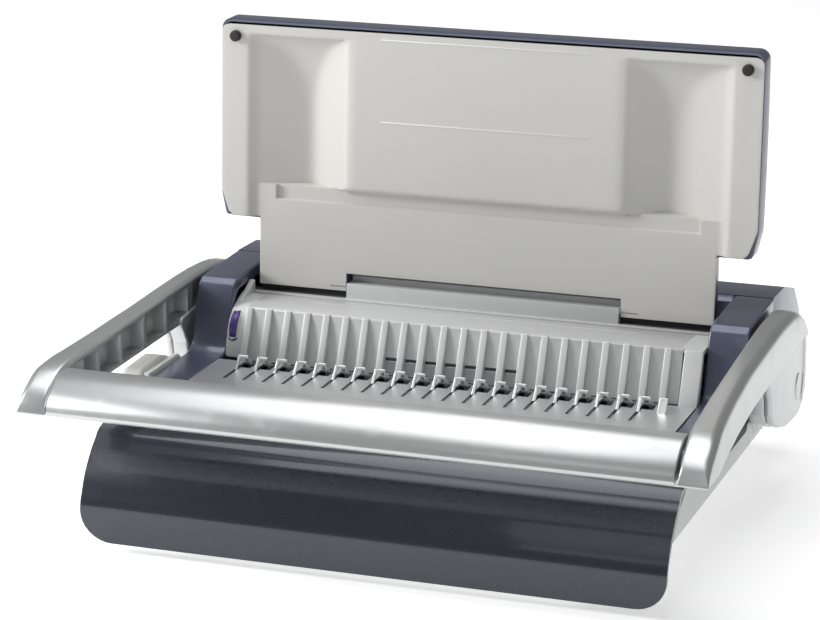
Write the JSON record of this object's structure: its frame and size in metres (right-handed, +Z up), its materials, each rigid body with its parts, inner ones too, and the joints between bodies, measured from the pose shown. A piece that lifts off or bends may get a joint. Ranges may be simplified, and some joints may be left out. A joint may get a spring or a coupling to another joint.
{
  "type": "comb binding machine",
  "caption": "Desktop comb binding machine: hand-pulled paper punch with an open lid, a slotted comb plate with opening hooks, a chip drawer and a depth wheel.",
  "frame": {"origin": "centre of the machine's plan, on the surface that it stands on", "axes": "+X to the machine's right as its user faces it, +Y to its rear, +Z up; the pull bar is at -Y"},
  "size_m": [0.457, 0.392, 0.31],
  "materials": {
    "dark_blue": "metallic gloss",
    "silver": "silver satin paint",
    "light_grey": "fine moulded texture",
    "warm_grey": "fine moulded texture",
    "deck_grey": "silver-grey satin",
    "satin_steel": "satin",
    "steel": "zinc plated",
    "chrome": "polished",
    "bronze": "sintered bronze",
    "rubber": "matte",
    "purple": "satin, knurled",
    "black_plastic": "matte"
  },
  "bodies": {
    "base": {"base_tray": "light_grey", "front_cover": "dark_blue", "rear_cover": "dark_blue", "punch_guide": "deck_grey", "rear_deck": "dark_blue", "hinge_block": "light_grey", "hinge_pins": "steel", "feet": "rubber", "base_screws": "steel", "side_plate_left": "steel", "side_plate_right": "steel", "front_die_plate": "steel", "rear_guide_plate": "steel", "rear_crossbar": "steel", "guide_rods": "steel", "shaft_bushes": "bronze", "frame_screws": "steel", "return_springs": "steel", "comb_plate": "satin_steel", "end_finger": "chrome", "carriage_rails": "steel", "rail_brackets": "steel", "wheel_bracket": "steel"},
    "handle": {"arm_left": "silver", "arm_right": "silver", "pivot_cover_left": "silver", "pivot_cover_right": "silver", "handle_bar": "silver", "bar_strip": "light_grey", "bar_core": "steel", "drive_shaft": "steel", "drive_cams": "steel"},
    "punch": {"punch_bar": "steel", "punch_pins": "steel"},
    "lid": {"lid_liner": "warm_grey", "lid_shell": "dark_blue", "lid_stops": "rubber"},
    "hooks": {"comb_hooks": "chrome", "hook_carriage": "steel"},
    "comb_lever": {"lever_arm": "light_grey", "lever_grip": "silver", "lever_shaft": "steel", "lever_cranks": "steel"},
    "drawer": {"chip_drawer": "light_grey"},
    "wheel": {"depth_wheel": "purple", "wheel_shaft": "steel", "depth_cam": "black_plastic"},
    "depth_stop": {"paper_rest": "steel", "depth_follower": "steel"}
  },
  "joints": [
    {"name": "handle_pull", "type": "hinge", "parent": "base", "child": "handle", "pos_m": [0, 0.084, 0.085], "axis": [-1, 0, 0], "range_deg": [0, 75]},
    {"name": "punch_slide", "type": "slide", "parent": "base", "child": "punch", "axis": [0, 1, 0], "range_m": [0, 0.012], "deforming": ["return_springs"]},
    {"name": "lid_hinge", "type": "hinge", "parent": "base", "child": "lid", "pos_m": [0, 0.069, 0.125], "axis": [1, 0, 0], "range_deg": [0, 95]},
    {"name": "lever_turn", "type": "hinge", "parent": "base", "child": "comb_lever", "pos_m": [0, 0.029, 0.054], "axis": [1, 0, 0], "range_deg": [0, 50]},
    {"name": "hook_slide", "type": "slide", "parent": "base", "child": "hooks", "axis": [0, -1, 0], "range_m": [0, 0.02]},
    {"name": "drawer_slide", "type": "slide", "parent": "base", "child": "drawer", "axis": [1, 0, 0], "range_m": [0, 0.22]},
    {"name": "wheel_turn", "type": "hinge", "parent": "base", "child": "wheel", "pos_m": [-0.165, 0.028, 0.1], "axis": [-1, 0, 0], "range_deg": [0, 180]},
    {"name": "stop_slide", "type": "slide", "parent": "base", "child": "depth_stop", "axis": [0, 0, -1], "range_m": [0, 0.003]}
  ],
  "couplings": [
    {"joint": "punch_slide", "follows": "handle_pull", "m_per_rad": 0.0091673},
    {"joint": "hook_slide", "follows": "lever_turn", "m_per_rad": 0.022918},
    {"joint": "wheel_turn", "follows": "stop_slide", "rad_per_m": 1047.2}
  ]
}
